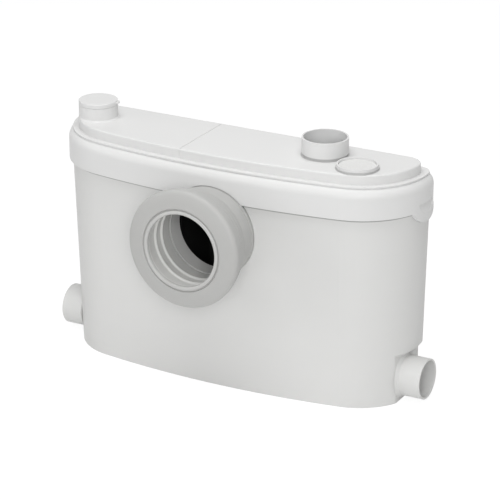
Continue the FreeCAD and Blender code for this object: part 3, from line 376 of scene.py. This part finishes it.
def painted(name, colour):
    """Stoved satin paint with orange peel and a few thin marks."""
    finish = finish_named(name)
    peel = finish.noise(420.0, detail=2.0)
    dust_and_painted_shade = finish.noise(38.0, detail=6.0)
    streaks = finish.noise(1.0, detail=2.0, place=finish.stretched(900.0, 900.0, 30.0))
    marks = finish.ramp(streaks, [(0.70, 0.0), (0.74, 1.0)])
    body = finish.shades(dust_and_painted_shade, colour, 0.88, 1.12)
    body = finish.mix(marks * 0.25, body, shade(colour, 1.9))
    return finish.surface(body, 0.34 + dust_and_painted_shade * 0.14, finish.bump(peel, 0.14, 0.0003))


def laminated(name, colour):
    """Edges of stacked iron sheets."""
    finish = finish_named(name)
    sheets = finish.bands(310.0, distortion=0.3)
    rust = finish.noise(140.0, detail=5.0)
    body = finish.shades(rust, colour, 0.75, 1.1)
    return finish.surface(body, 0.42 + rust * 0.15, finish.bump(sheets, 0.35, 0.0002),
                          Metallic=0.8)


def wound(name, colour):
    """Varnished copper wire laid side by side."""
    finish = finish_named(name)
    wire = finish.bands(340.0, distortion=2.0)
    varnish = finish.noise(90.0, detail=4.0)
    body = finish.shades(varnish, colour, 0.6, 1.1)
    return finish.surface(body, 0.28 + varnish * 0.12, finish.bump(wire, 0.6, 0.0003),
                          Metallic=0.7)


def foam(name, colour):
    """Open filter foam."""
    finish = finish_named(name)
    holes = finish.cells(900.0)
    web = finish.noise(700.0, detail=4.0)
    body = finish.shades(holes, colour, 0.88, 1.06)
    return finish.surface(body, 0.85 + web * 0.1, finish.bump(holes + web * 0.5, 0.25, 0.0004))


def finishes(colours):
    """Every finish by the name of its slot in the record."""
    return {
        # The tank gets painted shade under the lid's edge, and the lid painted shade round its
        # rings' feet
        "tank_plastic": moulded("tank_plastic", colours.tank, 0.36, painted_shade_from=SEAM_SHADE_HEIGHT,
                                gloss=0.04),
        "lid_plastic": moulded("lid_plastic", colours.lid, 0.34, feet=RING_FEET, gloss=0.12),
        "cap_plastic": moulded("cap_plastic", colours.cap, 0.38),
        "filter_foam": foam("filter_foam", colours.foam),
        # The sleeve's throat gets painted light
        "sleeve_rubber": rubber("sleeve_rubber", colours.sleeve, 0.50, bloom=0.04, painted_light=THROAT_PAINTED_LIGHT),
        "seal_rubber": rubber("seal_rubber", colours.seal, 0.60, bloom=0.15),
        "basket_plastic": moulded("basket_plastic", colours.basket, 0.45, grain=0.16,
                                  cloud=0.15),
        "pump_plastic": moulded("pump_plastic", colours.pump, 0.42, grain=0.16, cloud=0.12),
        "motor_paint": painted("motor_paint", colours.motor),
        "steel": metal("steel", colours.steel, 0.30, LINES_UP),
        "stator_iron": laminated("stator_iron", colours.iron),
        "copper": wound("copper", colours.copper),
        "pipe_plastic": moulded("pipe_plastic", colours.pipe, 0.40, grain=0.10, cloud=0.06),
        "switch_plastic": moulded("switch_plastic", colours.switch, 0.30, grain=0.10,
                                  cloud=0.10),
        "capacitor_shell": metal("capacitor_shell", colours.shell, 0.32, LINES_ACROSS),
        "terminal_plastic": moulded("terminal_plastic", colours.terminal, 0.33, grain=0.08,
                                    cloud=0.04),
    }


def eased(corners):
    """A line of (radius, distance, rounding) corners, each rounded by a short curve."""
    line = []
    for index, (radius, along, rounding) in enumerate(corners):
        here = Vector((radius, along))
        if rounding == 0 or index in (0, len(corners) - 1):
            line.append(here)
            continue
        before = Vector(corners[index - 1][:2]) - here
        after = Vector(corners[index + 1][:2]) - here
        start = here + before.normalized() * min(rounding, before.length * CURVE_SHARE)
        end = here + after.normalized() * min(rounding, after.length * CURVE_SHARE)
        for step in range(CURVE_STEPS + 1):
            share = step / CURVE_STEPS
            line.append(start.lerp(here, share).lerp(here.lerp(end, share), share))
    return line


def lathe(name, line, centre, seat, steps, finish):
    """A ring turned about the axis along Y through centre.

    Its closed line has (radius, distance) points, with distance from the seat towards -Y."""
    mesh = bmesh.new()
    rings = []
    for radius, distance in line:
        ring = []
        for step in range(steps):
            angle = 2 * math.pi * step / steps
            ring.append(mesh.verts.new((centre[0] + radius * math.cos(angle),
                                        seat - distance,
                                        centre[2] + radius * math.sin(angle))))
        rings.append(ring)
    for index, ring in enumerate(rings):
        following = rings[(index + 1) % len(rings)]
        for step in range(steps):
            after = (step + 1) % steps
            mesh.faces.new((ring[step], following[step], following[after], ring[after]))
    bmesh.ops.recalc_face_normals(mesh, faces=mesh.faces)
    return stand(name, mesh, finish)


def stand(name, mesh, finish):
    """Puts a mesh into the scene under its name and finish."""
    data = bpy.data.meshes.new(name)
    mesh.to_mesh(data)
    mesh.free()
    for face in data.polygons:
        face.use_smooth = True
    data.materials.append(finish)
    piece = bpy.data.objects.new(name, data)
    bpy.context.scene.collection.objects.link(piece)
    return piece


def sleeve_line(sizes):
    """Section of the pan sleeve: a closed line of (radius, distance from the tank).

    Each corner is drawn in millimetres, with the size of its rounding."""
    band, waist, shoulder = sizes.band / MM, sizes.waist / MM, sizes.shoulder / MM
    dome, lip, bore, throat = sizes.dome / MM, sizes.lip / MM, sizes.bore / MM, sizes.throat / MM
    tube = throat + 2.6
    collar = 48.0
    outside = [
        # Band beside the tank, with a groove round it
        (band, 0.0, 0.0), (band, 3.2, 0.5), (band - 1.4, 3.8, 0.5), (band - 1.4, 4.6, 0.5),
        (band, 5.2, 0.5), (band, 10.6, 0.5),
        # Cone up to the waist and its groove
        (band + 1.8, 12.0, 0.7), (waist, 25.6, 0.4), (waist - 1.2, 26.2, 0.3),
        (waist - 1.2, 27.0, 0.3),
        # Cone up to the shoulder, with a groove before it
        (waist + 1.2, 27.6, 0.5), (shoulder - 1.2, 43.2, 0.4), (shoulder - 2.4, 43.8, 0.3),
        (shoulder - 2.2, 44.6, 0.3), (shoulder, 45.4, 0.5),
        # Dome
        (dome - 1.2, 53.5, 4.0), (dome, 60.9, 3.0), (dome - 2.4, 63.8, 2.4),
        (dome - 9.0, 65.6, 3.0),
        # Groove round the lip, and the lip
        (lip + 3.2, 67.0, 0.8), (lip + 2.4, 65.2, 0.4), (lip + 1.6, 65.2, 0.4),
        (lip + 1.3, 66.9, 0.6), (lip, 67.6, 0.8),
    ]
    inside = [(bore + 0.8, 67.6, 0.8), (bore, 66.4, 0.8), (bore, 61.6, 0.8), (throat, 56.6, 1.2)]
    for rib in (41.6, 28.6):
        inside += [(throat, rib + 2.2, 0.6), (throat - 2.0, rib + 0.7, 0.5),
                   (throat - 2.0, rib - 0.7, 0.5), (throat, rib - 2.2, 0.6)]
    between = [
        # End of the folded-back tube, and forward along its outside
        (throat, 11.4, 0.3), (tube, 11.4, 0.3), (tube, 58.6, 1.0),
        # Back under the dome, the shoulder and the waist to the tank's collar
        (dome - 7.5, 63.7, 1.5), (dome - 3.4, 59.4, 1.5), (dome - 4.4, 52.9, 1.0),
        (shoulder - 3.4, 46.2, 0.5), (waist - 2.6, 28.0, 0.5), (band - 1.0, 13.4, 0.5),
        (collar, 11.4, 0.0), (collar, 0.0, 0.0),
    ]
    return [point * MM for point in eased(outside + inside + between)]


class PUMP_OT_finishes(bpy.types.Operator):
    """Give every carried-over solid its finish"""

    bl_idname = "pump.finishes"
    bl_label = "Finishes"

    def execute(self, context):
        made = finishes(context.scene.pump_colours)
        for part in frame["record"]["subparts"]:
            materials = frame["nodes"][part["node"]].data.materials
            materials.clear()
            materials.append(made[part["material_slot"]])
        return {"FINISHED"}


class PUMP_OT_sleeve(bpy.types.Operator):
    """Turn the ribbed rubber sleeve of the pan inlet"""

    bl_idname = "pump.sleeve"
    bl_label = "Pan sleeve"

    def execute(self, context):
        sizes = context.scene.pump_sleeve
        finish = frame["nodes"]["pan_sleeve"].data.materials[0]
        piece = lathe("pan_sleeve_dressed", sleeve_line(sizes), SLEEVE_CENTRE, SLEEVE_HIGH.y,
                      sizes.steps, finish)
        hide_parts("pan_sleeve")
        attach(piece, "tank")
        return {"FINISHED"}


class PUMP_OT_studio(bpy.types.Operator):
    """Set the floor, the camera, the lamps and the white surroundings"""

    bl_idname = "pump.studio"
    bl_label = "Studio"

    def execute(self, context):
        studio = context.scene.pump_studio
        floor(studio)
        camera(studio)
        softbox("top_light", studio.top, size=1.3, place=(0.1, -0.25, 1.7),
                target=(0.0, 0.0, 0.15))
        softbox("front_light", studio.front, size=0.9, place=(1.2, -2.2, 1.15),
                target=(0.0, 0.0, 0.12))
        softbox("side_light", studio.side, size=0.8, place=(-1.58, -1.41, 0.72),
                target=(0.0, 0.0, 0.15))
        surroundings(studio)
        context.scene.view_settings.view_transform = "Standard"
        return {"FINISHED"}


def seen_by_eye(finish):
    """1 for rays from the camera or from a gloss or clear surface."""
    eye, gloss, clear = (finish.node("ShaderNodeLightPath", output=name) for name in
                         ("Is Camera Ray", "Is Glossy Ray", "Is Transmission Ray"))
    return eye.larger(gloss).larger(clear)


def floor(studio):
    """Pale paper that looks nearly white and keeps the pump's shadow."""
    finish = finish_named("studio_floor")
    tone = finish.shades(finish.noise(240.0, detail=4.0), PAPER, 0.99, 1.0)
    ground = finish.node("ShaderNodeBsdfPrincipled", None,
                         {"Base Color": tone, "Roughness": 0.9, "Specular IOR Level": 0.0})
    glow = finish.node("ShaderNodeEmission", None, {"Color": WHITE, "Strength": GLOW})
    share = seen_by_eye(finish) * GLOW_SHARE
    material = finish.shown(finish.node("ShaderNodeMixShader", None, [share, ground, glow]))
    mesh = bmesh.new()
    bmesh.ops.create_circle(mesh, cap_ends=True, segments=FLOOR_CORNERS, radius=studio.floor)
    stand("studio_floor", mesh, material)


def facing(way):
    """Turn of an upright camera or lamp that looks one way."""
    return way.to_track_quat("-Z", "Y").to_euler()


def camera(studio):
    """Stands the camera where the photograph was taken from."""
    data = bpy.data.cameras.new("camera")
    data.lens = studio.lens
    data.clip_end = FARTHEST
    eye = bpy.data.objects.new("camera", data)
    eye.location = studio.eye
    eye.rotation_euler = facing(Vector((-math.sin(studio.yaw) * math.cos(studio.pitch),
                                        math.cos(studio.yaw) * math.cos(studio.pitch),
                                        -math.sin(studio.pitch))))
    bpy.context.scene.collection.objects.link(eye)
    bpy.context.scene.camera = eye


def softbox(name, power, size, place, target):
    """A square lamp at a place that looks at a target."""
    data = bpy.data.lights.new(name, "AREA")
    data.energy = power
    data.size = size
    lamp = bpy.data.objects.new(name, data)
    lamp.location = place
    lamp.rotation_euler = facing(Vector(target) - Vector(place))
    bpy.context.scene.collection.objects.link(lamp)


def surroundings(studio):
    """White to the eye, and an even light on the pump."""
    room = Finish(bpy.data.worlds.new("studio"))
    level = room.mix_levels(seen_by_eye(room), studio.world, 1.0)
    back = room.node("ShaderNodeBackground", None, {"Color": WHITE, "Strength": level})
    bpy.context.scene.world = room.shown(back, "ShaderNodeOutputWorld")


class PUMP_PT_panel(bpy.types.Panel):
    """Lists the pump's colours, sleeve sizes and studio settings, with a button for each step"""

    bl_idname = "PUMP_PT_panel"
    bl_label = "Grey Water Pump"
    bl_space_type = "VIEW_3D"
    bl_region_type = "UI"
    bl_category = "Pump"

    def draw(self, context):
        scene = context.scene
        for group in (scene.pump_colours, scene.pump_sleeve, scene.pump_studio):
            box = self.layout.box()
            for name in group.__annotations__:
                box.prop(group, name)
        for operator in OPERATORS:
            self.layout.operator(operator.bl_idname)


OPERATORS = (PUMP_OT_finishes, PUMP_OT_sleeve, PUMP_OT_studio)
CLASSES = (PumpColours, PumpSleeve, PumpStudio, *OPERATORS, PUMP_PT_panel)


def register():
    for item in CLASSES:
        bpy.utils.register_class(item)
    bpy.types.Scene.pump_colours = PointerProperty(type=PumpColours)
    bpy.types.Scene.pump_sleeve = PointerProperty(type=PumpSleeve)
    bpy.types.Scene.pump_studio = PointerProperty(type=PumpStudio)


def unregister():
    del bpy.types.Scene.pump_studio
    del bpy.types.Scene.pump_sleeve
    del bpy.types.Scene.pump_colours
    for item in reversed(CLASSES):
        bpy.utils.unregister_class(item)


def main():
    register()
    bpy.ops.pump.finishes()
    bpy.ops.pump.sleeve()
    bpy.ops.pump.studio()


if __name__ == "__main__":
    main()
